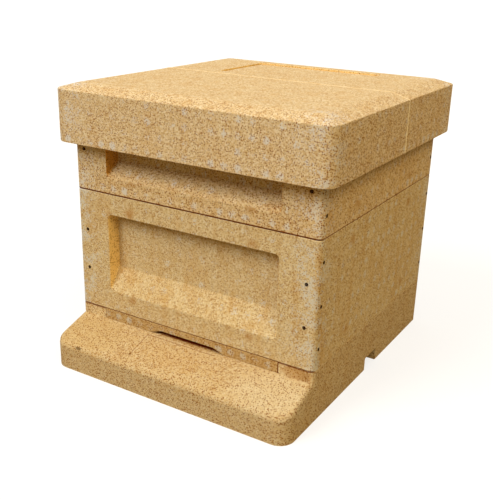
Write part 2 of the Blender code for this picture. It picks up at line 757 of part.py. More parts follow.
def main():
    clear_scene()
    foam = material("ochre_polystyrene", STRAW, 0.85)
    pale_foam = material("pale_polystyrene", PALE_STRAW, 0.85)
    pine = material("pine", PINE, 0.6)
    wax = material("beeswax", WAX, 0.45)
    zinc = material("zinc_sheet", ZINC, 0.35, 1.0)
    steel = material("steel_mesh", ZINC, 0.4, 1.0)
    ply = material("plywood", PLYWOOD, 0.55)
    plastic = material("white_plastic", WHITE_PLASTIC, 0.4)

    floor = empty("floor_origin", (0, BODY_Y, 0))
    sill = FLOOR_HEIGHT - ENTRANCE_HEIGHT + SEAT_GAP
    block_slide = empty("entrance_block_slide", (ENTRANCE_OFFSET, FRONT, sill), floor)
    tray_z = FLOOR_HEIGHT - TRAY_DROP - TRAY_SLOT + TRAY_PLAY
    tray_slide = empty("tray_slide", (0, 0, tray_z), floor)
    brood_lift = empty("brood_lift", (0, 0, BROOD_Z), floor)
    excluder_lift = empty("excluder_lift", (0, 0, EXCLUDER_Z - BROOD_Z), brood_lift)
    super_lift = empty("super_lift", (0, 0, SUPER_Z - EXCLUDER_Z), excluder_lift)
    crown_lift = empty("crown_lift", (0, 0, CROWN_Z - SUPER_Z), super_lift)
    roof_lift = empty("roof_lift", (0, 0, ROOF_Z - CROWN_Z), crown_lift)

    floor_base(foam, floor)
    floor_mesh(steel, floor)
    entrance_block(pale_foam, block_slide)
    inspection_tray(plastic, tray_slide)

    brood_recess = (BROOD_RECESS_DEPTH, BROOD_RECESS_LOW, BROOD_RECESS_DROP, BROOD_RECESS_SLOPE)
    make_walls("brood", BROOD_HEIGHT, brood_recess, True, foam, brood_lift)
    shoulder = BROOD_PITCH - SEAM
    make_frames("brood", BROOD_FRAMES, BROOD_PITCH, BROOD_HEIGHT, shoulder, pine, wax, brood_lift)
    queen_excluder(zinc, excluder_lift)

    super_recess = (SUPER_RECESS_DEPTH, SUPER_RECESS_LOW, SUPER_RECESS_DROP, SUPER_RECESS_SLOPE)
    make_walls("super", SUPER_HEIGHT, super_recess, False, foam, super_lift)
    make_frames("super", SUPER_FRAMES, SUPER_PITCH, SUPER_HEIGHT, 0, pine, wax, super_lift)

    strips = (
        (runner, "brood", "runner", BROOD_HEIGHT, brood_lift),
        (castellation, "super", "castellation", SUPER_HEIGHT, super_lift),
    )
    for make, box, kind, height, parent in strips:
        front = make("strip")
        back = turned(front, "strip_back")
        z = height - REBATE_DEPTH + SEAT_GAP
        place(front, f"{box}_front_{kind}", zinc, parent, (0, 0, z))
        place(back, f"{box}_back_{kind}", zinc, parent, (0, 0, z))

    crown_board(pine, ply, crown_lift)
    roof(foam, roof_lift)


main()
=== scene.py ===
"""Moulded polystyrene beehive: its stained foam, timber, wax and metal, its screws and its mould lines."""

from math import copysign, pi, radians, sqrt

import bmesh
import bpy
from bpy.props import FloatProperty, FloatVectorProperty, PointerProperty
from bpy.types import Operator, Panel, PropertyGroup
from mathutils import Matrix, Vector


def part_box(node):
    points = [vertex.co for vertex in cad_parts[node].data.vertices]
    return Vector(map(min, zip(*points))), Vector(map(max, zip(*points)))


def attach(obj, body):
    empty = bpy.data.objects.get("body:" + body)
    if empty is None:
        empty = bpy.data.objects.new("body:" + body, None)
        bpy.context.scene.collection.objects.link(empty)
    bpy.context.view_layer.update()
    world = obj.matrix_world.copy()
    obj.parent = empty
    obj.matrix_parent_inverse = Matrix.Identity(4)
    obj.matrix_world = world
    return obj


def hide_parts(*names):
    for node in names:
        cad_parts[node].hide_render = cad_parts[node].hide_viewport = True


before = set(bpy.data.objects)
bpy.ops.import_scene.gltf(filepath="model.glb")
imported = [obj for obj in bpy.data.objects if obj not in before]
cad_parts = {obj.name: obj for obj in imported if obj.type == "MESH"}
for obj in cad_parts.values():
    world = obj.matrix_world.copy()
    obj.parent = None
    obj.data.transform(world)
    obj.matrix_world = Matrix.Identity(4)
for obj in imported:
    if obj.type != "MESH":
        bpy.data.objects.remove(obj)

bl_info = {
    "name": "Polystyrene Beehive",
    "version": (1, 0, 0),
    "blender": (4, 5, 0),
    "location": "View3D > Sidebar > Beehive",
    "description": "Dresses a moulded foam beehive with stain, screws, mould lines, mesh, wax and timber",
    "category": "Object",
}

MM = 0.001
# The picture is 493 by 500 pixels, and the camera is shifted by a part of a pixel
IMAGE_HEIGHT = 500
CAMERA_SHIFT = (-0.735, -0.999)

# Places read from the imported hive
BROOD_LOW, BROOD_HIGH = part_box("brood_front_wall")
SUPER_LOW, SUPER_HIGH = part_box("super_front_wall")
ROOF_LOW, ROOF_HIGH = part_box("roof")
FLOOR_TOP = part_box("floor_base")[1].z
BLOCK_LOW, BLOCK_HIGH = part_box("entrance_block")
MESH_LOW, MESH_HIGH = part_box("floor_mesh")
CROWN_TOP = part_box("crown_board")[1].z
FRONT = BROOD_LOW.y
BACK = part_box("brood_back_wall")[1].y
HALF_WIDTH = BROOD_HIGH.x
HALF_DEPTH = (BACK - FRONT) / 2
BODY_Y = (FRONT + BACK) / 2
INNER_HALF_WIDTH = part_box("brood_right_wall")[0].x
INNER_HALF_DEPTH = BODY_Y - BROOD_HIGH.y
BOXES = {"brood": (BROOD_LOW.z, BROOD_HIGH.z), "super": (SUPER_LOW.z, SUPER_HIGH.z)}


def linear(code):
    """An sRGB hex colour as linear red, green and blue."""
    shares = [int(code[i:i + 2], 16) / 255 for i in (1, 3, 5)]
    return tuple(c / 12.92 if c <= 0.04045 else ((c + 0.055) / 1.055) ** 2.4 for c in shares)


def length(name, description, default):
    """A length that the user may change, given in millimetres."""
    return FloatProperty(
        name=name, description=description, default=default * MM, precision=5, unit="LENGTH",
    )


def number(name, description, default):
    """A plain number that the user may change."""
    return FloatProperty(name=name, description=description, default=default, precision=3)


def colour(name, description, code):
    """A colour that the user may change."""
    return FloatVectorProperty(
        name=name, description=description, default=linear(code), size=3, min=0.0, max=1.0, subtype="COLOR",
    )


class FoamSettings(PropertyGroup):
    """The moulded foam and its stain."""

    ochre: colour("Ochre", "Stain where it covers well", "#CDA970")
    cream: colour("Cream", "Beads that took little stain", "#E4CFA8")
    amber: colour("Amber", "Stain where it was brushed on thick", "#C79141")
    # Yellow, orange and gold: thick stain painted lighter and warmer, as painted bounce light in the
    # recesses and the roof's panel
    yellow: colour("Yellow", "Thick, glowing stain on the ends of the brood box's recesses", "#FFD78C")
    orange: colour("Orange", "Thicker stain on the ends of the super's recesses", "#DC9C34")
    gold: colour("Gold", "Thick, glowing stain round the roof's sunk panel", "#F6C668")
    rust: colour("Rust", "Beads that soaked up the stain, and the pins' marks", "#AE7A38")
    pit: colour("Pit", "Stain pooled between the beads", "#8B521A")
    # Seam is painted shade: dark brown along the joints, where the gaps between pieces fall in shadow
    seam: colour("Seam", "Stain pooled along the joints", "#6A2A06")
    # Painted shade: near-black brown inside the entrance's slot, where the block keeps the light off the
    # board
    slot_shade: colour("Deep", "Stain inside the slot of the entrance", "#701E00")
    # A dark brown for the dent in the front edge and a dot on the board
    dark_brown: colour("Dirt", "Dirt in the dent of the front edge", "#5A4424")
    bare: colour("Bare", "Thin, greyish stain over the steam vents", "#D8CFC2")
    ridge: colour("Ridge", "Thin stain on the raised mould line of the roof", "#F6E6BC")
    worn_ridge: colour("Worn ridge", "Stain on that line over the roof's top", "#CCA86E")
    white: colour("White", "Foam that was never stained, inside the boxes", "#E9E7E1")
    bead: length("Bead", "Width of a fused bead", 2.1)
    pit_spacing: length("Pit spacing", "Distance between stained pits", 2.55)
    vent_pitch: length("Vent pitch", "Spacing of the mould's steam vents", 24.8)
    vent_width: length("Vent width", "Width of the mark that a vent leaves", 13)
    pin_radius: length("Pin radius", "Radius of the stain round an ejector pin", 14)
    edge: length("Edge", "Radius of the outer edges", 0.8)
    joint_edge: length("Joint edge", "Radius of the edges where the two boxes meet", 1.6)
    rim: length("Rim", "Radius round a hand recess", 1.4)
    inner_rim: length("Inner rim", "Radius at the bottom of a hand recess", 2.4)
    recess_inset: length("Recess inset", "From the side of a box to its hand recess", 71.5)
    top_edge: length("Top edge", "Radius round the top of the roof", 5)
    panel_edge: length("Panel edge", "Radius round the sunk panel of the roof", 1.3)
    hip_edge: length("Hip edge", "Radius between the hip and the sides of the roof", 1.6)
    skirt_edge: length("Skirt edge", "Radius of the lower edge of the roof", 1.2)


class MouldSettings(PropertyGroup):
    """Lines and marks that the moulds leave."""

    ridge_width: length("Ridge width", "Width of the mould line on the roof", 2.6)
    ridge_height: length("Ridge height", "Height of the mould line on the roof", 0.6)
    ridge_y: length("Ridge place", "Where the mould line crosses the roof", 46)
    line: length("Line", "Radius of the insert's line on the landing board", 0.45)
    line_x: length("Line side", "Left side of the insert's line", -85)
    line_x_end: length("Line end", "Right end of the insert's line", 60)
    line_y: length("Line top", "Upper side of the insert's line", -226.5)
    line_y_end: length("Line foot", "Lower end of the insert's line", -281)
    sill: length("Sill", "Height of the landing board at the entrance", 77.0)
    fall: number("Fall", "Fall of the landing board, as a share of its depth", 0.319)


class ScrewSettings(PropertyGroup):
    """The screws through the finger joints."""

    steel: colour("Steel", "Phosphated screw head", "#280A04")
    head: length("Head", "Diameter of a screw head", 6.2)
    rise: length("Rise", "Height of a screw head", 0.7)
    cross: length("Cross", "Length of the cross recess", 3.6)
    slot: length("Slot", "Width of an arm of the cross recess", 0.9)
    pitch: length("Pitch", "Spacing of the screws", 37.5)
    from_side: length("From side", "Front screws, from the side of the box", 21.3)
    from_front: length("From front", "Side screws, from the front of the box", 12.9)


class InsideSettings(PropertyGroup):
    """Timber, wax, metal and sheet inside the hive."""

    pine: colour("Pine", "Planed pine", "#E0BF8B")
    pine_dark: colour("Pine, dark", "Late wood of the pine", "#BE8F55")
    wax: colour("Wax", "Beeswax foundation", "#DDB04E")
    wax_dark: colour("Wax, dark", "Bottoms of the wax cells", "#C08F33")
    birch: colour("Birch", "Face veneer of the crown board", "#DDC094")
    birch_dark: colour("Birch, dark", "Dark plies of the crown board", "#9C7040")
    zinc: colour("Zinc", "Zinc-coated sheet", "#B9BCBE")
    wire: colour("Wire", "Stainless wire of the floor's mesh", "#A9ABAD")
    plastic: colour("Plastic", "White sheet of the inspection tray", "#E9E8E4")
    cell: length("Cell", "Width of a cell of the wax, across its flats", 5.4)
    wire_pitch: length("Wire pitch", "Spacing of the wires", 4.0)
    wire_width: length("Wire width", "Diameter of a wire", 0.5)
    hem: length("Hem", "Width of the folded hem round the mesh", 9.0)
    top_bar: length("Top bar", "Thickness of a frame's top bar", 9.5)
    side_bar: length("Side bar", "Half the length of a frame between its side bars", 171)
    ply: length("Ply", "Thickness of a ply of the crown board", 1.1)
    eased: length("Eased edge", "Radius of a planed edge", 0.5)


class StageSettings(PropertyGroup):
    """Camera, lamps and floor."""

    camera_place: FloatVectorProperty(
        name="Camera place", description="Where the camera stands", size=3, unit="LENGTH",
        default=(0.7114, -1.2066, 0.7132),
    )
    camera_turn: FloatVectorProperty(
        name="Camera turn", description="How the camera is turned", size=3, subtype="EULER",
        default=[radians(turn) for turn in (69.52, -1.474, 31.612)],
    )
    focal: number("Focal length", "Of the lens, in millimetres", 55.10)
    paper: colour("Paper", "Colour of the floor", "#F4F4F2")
    warm: colour("Warm", "Tint of the light that comes back from the room and its floor", "#FFE3A8")
    sun: number("Sun", "Strength of the lamp on the left", 1.82)
    fill: number("Fill", "Strength of the warm lamp on the right", 1.23)
    sky: number("Sky", "Strength of the light from overhead", 0.95)
    room: number("Room", "Strength of the light from all round", 0.10)


def settings():
    """The hive's settings in the open scene."""
    return bpy.context.scene.beehive


# Materials

# A MapRange is given its value, the range that it comes from and the range that it goes to
SOFT = {"interpolation_type": "SMOOTHSTEP"}
COLOURS = {"data_type": "RGBA"}


def adder(tree):
    """The function that adds a node to a tree, with its settings and its values or links."""

    def add(kind, *values, **named):
        """Values go to the inputs in order. A name with a capital is an input's, another a setting's."""
        kind, *operation = kind.split()
        node = tree.nodes.new("ShaderNode" + kind)
        if operation:
            node.operation = operation[0]
        given = []
        for name, value in named.items():
            if name.islower():
                setattr(node, name, value)
            else:
                given.append((node.inputs[name.replace("_", " ")], value))
        given += zip([socket for socket in node.inputs if socket.enabled], values)
        for socket, value in given:
            if isinstance(value, bpy.types.Node):
                value = next(output for output in value.outputs if output.enabled)
            if isinstance(value, bpy.types.NodeSocket):
                tree.links.new(value, socket)
            elif socket.type == "RGBA":
                socket.default_value = (*value[:3], 1.0)
            else:
                socket.default_value = value
        return node

    return add


def make_material(name, paint, *details, **choices):
    """A material whose surface is the shader that paint adds to it."""
    made = bpy.data.materials.new(name)
    made.use_nodes = True
    made.node_tree.nodes.clear()
    add = adder(made.node_tree)
    add("OutputMaterial", paint(add, *details, **choices))
    return made


def vent_marks(add, place, mask, middle, pitch, width):
    """Spots on a square grid in the face, each of its own strength, over the mould's steam vents."""
    moved = add("VectorMath SUBTRACT", place, middle)
    cell = add("VectorMath WRAP", moved, (pitch,) * 3)
    centred = add("VectorMath SUBTRACT", cell, (pitch / 2,) * 3)
    away = add("VectorMath LENGTH", add("VectorMath MULTIPLY", centred, mask))
    spot = add("MapRange", away, 0.75 * width, 0.2 * width, **SOFT)
    corner = add("VectorMath FLOOR", add("VectorMath MULTIPLY", moved, (1 / pitch,) * 3))
    luck = add("TexWhiteNoise", add("VectorMath MULTIPLY", corner, mask))
    strength = add("MapRange", luck, 0, 1, 0.05, 1.1)
    return add("Math MULTIPLY", spot, strength)


def pin_marks(add, place, mask, middle, reach, radius):
    """Ragged blotches round four ejector pins on each face, mirrored about the middle."""
    folded = add("VectorMath ABSOLUTE", add("VectorMath SUBTRACT", place, middle))
    offset = add("VectorMath SUBTRACT", folded, reach)
    away = add("VectorMath LENGTH", add("VectorMath MULTIPLY", offset, mask))
    ragged = add("TexNoise", place, 1 / (0.8 * radius), 3.0)
    edge = add("Math MULTIPLY_ADD", ragged, 1.6 * radius, away)
    return add("MapRange", edge, 1.8 * radius, 0.8 * radius, 0, 0.6, **SOFT)


def stained_polystyrene(
    add, middle, vents, pits, amber, coat, vents_low=0.0, worn=0.0, cream=0.92, run=None, pins=None,
    seams=(), marks=(), inside=None,
):
    """Fused expanded-polystyrene beads under brushed ochre stain.

    The eye gets a matt, finely speckled tan: each bead took its own share of stain, small ones
    soaked up more and turned rusty, the stain pooled brown in the pits between beads, and it is
    thin and greyish over the mould's steam vents. Inside a box the foam was never stained.

    middle is a crossing of the vents' grid. vents are the strengths of their marks on the ends and on
    the sides, and vents_low is that near the middle's height. pits is how brown the pits are, cream how
    pale the palest beads, and worn how bare the upright corners: worn stain, with painted light there.
    amber is the strength of thick strokes, and the noise where they start and are full. coat tints it all,
    and run is the tone of the recesses' ends and the roof panel's walls: thick stain, painted lighter there
    as painted light. pins are the middle and the reach of the ejector pins. A seam is an axis, a place on
    it, the width that it darkens as painted shade, and its strength on the sides. A mark is a centre and
    half a size in mm, a tone and a strength. inside is the middle and half the size of the space where the
    foam is white.
    """
    foam = settings().foam
    coordinates = add("TexCoord").outputs
    place = coordinates["Object"]
    parts = add("SeparateXYZ", place).outputs
    sides = add("VectorMath ABSOLUTE", coordinates["Normal"])
    facing = add("SeparateXYZ", sides).outputs
    # Ones on the two axes that lie in the face, and nought on the axis that it looks along
    along = add("VectorMath FLOOR", add("VectorMath ADD", sides, (0.3,) * 3))
    mask = add("VectorMath SUBTRACT", (1, 1, 1), along)

    # Each bead draws three numbers: how pale it is, how rusty, and whether a vent reached it
    beads = add("TexVoronoi", place, 1 / foam.bead)
    draws = add("SeparateColor", beads.outputs["Color"]).outputs
    pale = add("MapRange", draws[0], 0, 1, 0.12, cream)

    # Brush strokes run down the walls
    stroke_width, stroke_length = 20 * MM, 110 * MM
    strokes = add("Mapping", Vector=place, Scale=(1 / stroke_width, 1 / stroke_width, 1 / stroke_length))
    brushed = add("TexNoise", strokes, 1.0, 3.0)
    thick = add("MapRange", brushed, amber[1], amber[2], 0, amber[0], **SOFT)
    # The stain collected on the ends of the recesses and the walls of the roof's panel, which look
    # sideways;
    # there it is painted lighter and warmer, as painted bounce light
    across = add("Math ABSOLUTE", parts[0])
    ends = HALF_WIDTH - foam.recess_inset
    within = add("MapRange", across, ends + 4 * MM, ends + 2 * MM)
    sideways = add("MapRange", facing[0], 0.3, 0.8, 0, 0.85, **SOFT)
    gathered_and_lit = add("Math MULTIPLY", sideways, within)

    # Some beads turned rusty, more of them in patches about 30 mm wide
    crowd = add("TexNoise", place, 1 / (30 * MM), 3.0)
    lean = add("Math MULTIPLY_ADD", crowd, 0.5, draws[1])
    rusty = add("MapRange", lean, 0.54, 0.38, 0, 0.6, **SOFT)

    # The stain pooled in pits of all sizes
    holes = add("TexVoronoi", place, 1 / foam.pit_spacing)
    luck = add("SeparateColor", holes.outputs["Color"])
    size = add("MapRange", luck, 0, 1, 0.14, 0.21 * (1 + max(pits, 1.0)))
    depth = add("Math SUBTRACT", holes, size)
    # Level faces were pressed smoother and hold fewer, and the sides hold more
    fewer = add("MapRange", facing[2], 0.965, 0.99, 0.9 * pits, 0.45 * pits)
    brown = add("Math MULTIPLY_ADD", gathered_and_lit, -0.7, fewer)
    hole = add("MapRange", depth, 0.04, -0.10, 0, brown, **SOFT)
    more = add("Math MULTIPLY_ADD", facing[0], 0.9, 1.0)
    pit = add("Math MULTIPLY", hole, more, use_clamp=True)

    # How strong the vents' marks are: on the ends, on the sides, and low down
    clear = add("MapRange", facing[0], 0.3, 0.8, vents[0], vents[1])
    below = add("MapRange", parts[2], middle.z + 40 * MM, middle.z + 10 * MM, 0, vents_low, **SOFT)
    low = add("Math MAXIMUM", below, clear)
    # None show on level faces, nor on the recess ends and panel walls that are painted lighter
    flat = add("MapRange", facing[2], 0.90, 0.97)
    covered = add("Math MAXIMUM", gathered_and_lit, flat)
    shown = add("Math SUBTRACT", low, covered)
    vent = vent_marks(add, place, mask, middle, foam.vent_pitch, foam.vent_width)
    vented = add("Math MULTIPLY", vent, shown)
    # The stain is worn thin along the upright corners, which are also painted paler as painted light,
    # where the faces brighten toward a corner
    offset = add("VectorMath SUBTRACT", place, (0, BODY_Y, 0))
    shares = add("VectorMath MULTIPLY", offset, (1 / HALF_WIDTH, 1 / HALF_DEPTH, 0))
    corner = add("SeparateXYZ", add("VectorMath ABSOLUTE", shares)).outputs
    nearness = add("Math MINIMUM", corner[0], corner[1])
    corner_wear_and_light = add("MapRange", nearness, 0.70, 1.0, 0, worn, **SOFT)
    patchy = add("MapRange", crowd, 0.36, 0.62, **SOFT)
    patchy_wear_and_light = add("Math MULTIPLY", corner_wear_and_light, patchy)
    reached = add("Math MAXIMUM", vented, patchy_wear_and_light)
    taken = add("Math MULTIPLY_ADD", reached, 1.5, draws[2])
    thin = add("MapRange", taken, 0.80, 1.45, 0, 0.85, **SOFT)

    # Each layer is its share and its tone, from the first to the last one laid on: stain, and with it
    # painted bounce light in the recesses and painted shade in the seams and the slot
    layers = [(thick, foam.amber), (gathered_and_lit, run or foam.amber), (rusty, foam.rust), (thin, foam.bare)]
    for centre, half, tone, strength in marks:
        moved = add("VectorMath SUBTRACT", place, Vector(centre) * MM)
        away = add("VectorMath LENGTH", add("VectorMath DIVIDE", moved, Vector(half) * MM))
        ragged = add("Math MULTIPLY_ADD", draws[1], 0.3, away)
        spot = add("MapRange", ragged, 1.25, 0.75, 0, strength, **SOFT)
        layers.append((spot, tone))
    layers += [(pit, foam.pit), (1.0, coat)]
    if pins:
        layers.append((pin_marks(add, place, mask, *pins, foam.pin_radius), foam.rust))
    # Painted shade: each seam darkens the faces along a joint, where the gap between pieces falls in shadow
    for axis, plane, width, side_strength in seams:
        away = add("Math ABSOLUTE", add("Math SUBTRACT", parts[axis], plane))
        strength = add("MapRange", facing[1], 0.2, 0.6, side_strength)
        pooled = add("MapRange", away, width, 0.6 * width, 0, strength)
        layers.append((pooled, foam.seam))
    if inside:
        folded = add("VectorMath ABSOLUTE", add("VectorMath SUBTRACT", place, inside[0]))
        spare = add("SeparateXYZ", add("VectorMath SUBTRACT", inside[1], folded)).outputs
        least = add("Math MINIMUM", add("Math MINIMUM", spare[0], spare[1]), spare[2])
        bare = add("MapRange", least, 0, 0.3 * MM)
        shade = [0.93 * c for c in foam.white]
        layers.append((bare, add("Mix", draws[0], shade, foam.white, **COLOURS)))

    body = add("Mix", pale, foam.ochre, foam.cream, **COLOURS)
    for share, tone in layers:
        blend = "MULTIPLY" if tone is coat else "MIX"
        body = add("Mix", share, body, tone, blend_type=blend, **COLOURS)
    domes = add("MapRange", beads, 0, 1, 1, 0, **SOFT)
    bump = add("Bump", Height=domes, Strength=0.4, Distance=0.3 * MM)
    return add(
        "BsdfPrincipled", Base_Color=body, Roughness=0.85, IOR=1.45, Specular_IOR_Level=0.05, Normal=bump,
    )


def mould_flash(add):
    """Polystyrene flash along a mould line: pale down the sides, stained like the roof in places on top."""
    foam = settings().foam
    coordinates = add("TexCoord").outputs
    facing = add("SeparateXYZ", coordinates["Normal"]).outputs
    patches = add("TexNoise", coordinates["Object"], 1 / (22 * MM), 3.0)
    patchy = add("MapRange", patches, 0.46, 0.70, 1.0, 0.5, **SOFT)
    upward = add("MapRange", facing[2], 0.5, 0.9, 0, patchy, **SOFT)
    body = add("Mix", upward, foam.ridge, foam.worn_ridge, **COLOURS)
    bump = add("Bump", Height=patches, Strength=0.1, Distance=0.1 * MM)
    return add(
        "BsdfPrincipled", Base_Color=body, Roughness=0.8, IOR=1.45, Specular_IOR_Level=0.25, Normal=bump,
    )


def planed_softwood(add, across, turned=None):
    """Planed softwood: pale early wood with narrow darker lines along the piece, a soft dull sheen.

    The lines are across wide. Where turned is given, they run upright beyond a distance from the
    hive's middle, up to a height.
    """
    inside = settings().inside
    long = 90 * MM
    place = add("TexCoord").outputs["Object"]
    way = add("Mapping", Vector=place, Scale=(1 / across, 1 / long, 1 / across))
    if turned:
        upright = add("Mapping", Vector=place, Scale=(1 / across, 1 / across, 1 / long))
        parts = add("SeparateXYZ", place).outputs
        away = add("Math ABSOLUTE", add("Math SUBTRACT", parts[1], BODY_Y))
        beyond = add("Math GREATER_THAN", away, turned[0])
        under = add("Math LESS_THAN", parts[2], turned[1])
        both = add("Math MULTIPLY", beyond, under)
        way = add("Mix", both, way, upright, data_type="VECTOR")
    lines = add("TexNoise", way, 1.0, 4.0, Distortion=0.4)
    share = add("MapRange", lines, 0.38, 0.70, **SOFT)
    body = add("Mix", share, inside.pine, inside.pine_dark, **COLOURS)
    bump = add("Bump", Height=lines, Strength=0.25, Distance=0.2 * MM)
    return add("BsdfPrincipled", Base_Color=body, Roughness=0.62, IOR=1.5, Normal=bump)


def birch_plywood(add):
    """Birch plywood: a pale veneer with long faint figure, and dark and light plies along its cut edges."""
    inside = settings().inside
    coordinates = add("TexCoord").outputs
    place = coordinates["Object"]
    way = add("Mapping", Vector=place, Scale=(1 / (120 * MM), 1 / (5 * MM), 1 / (2 * MM)))
    figure = add("TexNoise", way, 1.0, 5.0, Distortion=0.6)
    share = add("MapRange", figure, 0.40, 0.75, 0, 0.5, **SOFT)
    face = add("Mix", share, inside.birch, inside.birch_dark, **COLOURS)
    parts = add("SeparateXYZ", place).outputs
    wave = add("Math SINE", add("Math MULTIPLY", parts[2], pi / inside.ply))
    dark = add("MapRange", wave, -0.15, 0.15, 0.15, 0.75, **SOFT)
    cut = add("Mix", dark, inside.birch, inside.birch_dark, **COLOURS)
    normal = add("SeparateXYZ", coordinates["Normal"]).outputs
    flat = add("MapRange", add("Math ABSOLUTE", normal[2]), 0.5, 0.8, **SOFT)
    body = add("Mix", flat, cut, face, **COLOURS)
    bump = add("Bump", Height=figure, Strength=0.15, Distance=0.1 * MM)
    return add("BsdfPrincipled", Base_Color=body, Roughness=0.55, IOR=1.5, Normal=bump)


def beeswax(add):
    """Milled beeswax sheet: warm translucent yellow, embossed with hexagonal cell bottoms."""
    inside = settings().inside
    place = add("TexCoord").outputs["Object"]
    flat = add("VectorMath MULTIPLY", place, (0, 1, 1))
    half = (1.0, inside.cell / 2, inside.cell * sqrt(3) / 2)
    behind = [-h for h in half]
    # Cell centres lie on two interleaved oblong grids
    shifted = add("VectorMath ADD", flat, (0, *half[1:]))
    away = []
    for grid in (flat, shifted):
        cell = add("VectorMath WRAP", grid, half, behind)
        away.append(add("VectorMath LENGTH", cell))
    nearest = add("Math MINIMUM", away[0], away[1])
    wall = add("MapRange", nearest, 0.30 * inside.cell, 0.52 * inside.cell, **SOFT)
    body = add("Mix", wall, inside.wax_dark, inside.wax, **COLOURS)
    bump = add("Bump", Height=wall, Strength=0.8, Distance=0.8 * MM)
    return add(
        "BsdfPrincipled", Base_Color=body, Roughness=0.42, IOR=1.44, Normal=bump, Subsurface_Weight=0.15,
        Subsurface_Scale=2 * MM,
    )


def grey_metal(add, tone, spangle, roughness):
    """Zinc-coated or drawn steel: grey metal, with the faint crystals that the coating shows."""
    place = add("TexCoord").outputs["Object"]
    crystals = add("TexVoronoi", place, 1 / spangle)
    shade = add("SeparateColor", crystals.outputs["Color"])
    share = add("MapRange", shade, 0, 1, 0, 0.6)
    darker = [0.78 * c for c in tone]
    body = add("Mix", share, tone, darker, **COLOURS)
    rough = add("MapRange", shade, 0, 1, roughness - 0.07, roughness + 0.07)
    return add("BsdfPrincipled", Base_Color=body, Roughness=rough, Metallic=1.0)


def scuffed_coat(add, tone, roughness, ior, scuff, gloss=0.5):
    """A coloured solid with faint scuffs that break up its sheen."""
    place = add("TexCoord").outputs["Object"]
    marks = add("TexNoise", place, 1 / scuff, 6.0)
    worn = add("MapRange", marks, 0.45, 0.75, **SOFT)
    darker = [0.86 * c for c in tone]
    body = add("Mix", worn, tone, darker, **COLOURS)
    rough = add("MapRange", marks, 0.3, 0.7, roughness - 0.08, roughness + 0.08)
    bump = add("Bump", Height=marks, Strength=0.1, Distance=0.1 * MM)
    return add(
        "BsdfPrincipled", Base_Color=body, Roughness=rough, IOR=ior, Specular_IOR_Level=gloss, Normal=bump,
    )


def white_paper(add, stage):
    """White paper: it glows to the camera, so that only the shadow shows, and throws back warm light."""
    shadowed, glow, thrown_back = 0.35, 0.72, 0.28
    paper = add("BsdfDiffuse", [shadowed * c for c in stage.paper])
    white = add("Emission", (1, 1, 1), glow)
    lit = add("AddShader", paper, white)
    dull = add("BsdfDiffuse", [thrown_back * c for c in stage.warm])
    seen = add("LightPath").outputs["Is Camera Ray"]
    return add("MixShader", seen, dull, lit)


# Shapes


def near(value, target):
    """Whether two places are the same, give or take rounding."""
    return abs(value - target) < 0.05 * MM


def on_outside(point):
    """Whether a point lies on the outer faces of the boxes, round their corners too."""
    x, y = abs(point.x), abs(point.y - BODY_Y)
    return x > HALF_WIDTH - 4 * MM or y > HALF_DEPTH - 4 * MM


def on_corner(x, y):
    """Whether a place in plan lies where an end wall and a side wall cross."""
    return abs(x) > INNER_HALF_WIDTH - 1 * MM and abs(y) > INNER_HALF_DEPTH - 1 * MM


def points_of(result):
    """The points among what a bmesh operator made."""
    return [item for item in result["geom"] if isinstance(item, bmesh.types.BMVert)]


def mesh_of(shape, name):
    """A mesh of a bmesh, which is freed."""
    mesh = bpy.data.meshes.new(name)
    shape.to_mesh(mesh)
    shape.free()
    return mesh


def add_object(name, data):
    """A new object in the open scene."""
    made = bpy.data.objects.new(name, data)
    bpy.context.scene.collection.objects.link(made)
    return made


def merged_copy(node):
    """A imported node's mesh with its triangles joined up and its flat faces whole again."""
    shape = bmesh.new()
    shape.from_mesh(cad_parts[node].data)
    bmesh.ops.remove_doubles(shape, verts=shape.verts, dist=0.01 * MM)
    bmesh.ops.dissolve_limit(shape, angle_limit=radians(0.3), verts=shape.verts, edges=shape.edges)
    return shape


def soften(shape, wanted, radius, steps=2, upright=False):
    """Rounds the edges that turn a corner and whose ends are wanted, or only the upright ones of them."""
    edges = []
    for edge in shape.edges:
        a, b = (point.co for point in edge.verts)
        bent = len(edge.link_faces) == 2 and edge.calc_face_angle() > radians(12)
        stands = near(a.x, b.x) and near(a.y, b.y)
        if bent and wanted(a) and wanted(b) and (stands or not upright):
            edges.append(edge)
    bmesh.ops.bevel(
        shape, geom=edges, offset=radius, offset_type="OFFSET", affect="EDGES", segments=steps,
        profile=0.5, material=-1, clamp_overlap=False,
    )


def finish_piece(shape, name, body, material, node=None, sharp=32):
    """Turns a bmesh into a smooth-shaded object that rides on a body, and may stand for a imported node."""
    bmesh.ops.recalc_face_normals(shape, faces=shape.faces)
    if shape.calc_volume(signed=True) < 0:
        bmesh.ops.reverse_faces(shape, faces=shape.faces)
    mesh = mesh_of(shape, name)
    mesh.materials.append(material)
    mesh.shade_smooth()
    mesh.set_sharp_from_angle(angle=radians(sharp))
    piece = add_object(name, mesh)
    even = piece.modifiers.new("even shading", "WEIGHTED_NORMAL")
    even.keep_sharp = True
    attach(piece, body)
    if node:
        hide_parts(node)


def repaint(node, material):
    """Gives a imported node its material."""
    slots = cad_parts[node].data.materials
    slots.clear()
    slots.append(material)


def ease_edges(node, radius):
    """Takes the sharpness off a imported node's edges."""
    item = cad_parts[node]
    item.modifiers.new("join", "WELD").merge_threshold = 0.01 * MM
    eased = item.modifiers.new("eased edges", "BEVEL")
    eased.width = radius
    eased.segments = 2
    eased.limit_method = "ANGLE"
    eased.angle_limit = radians(40)


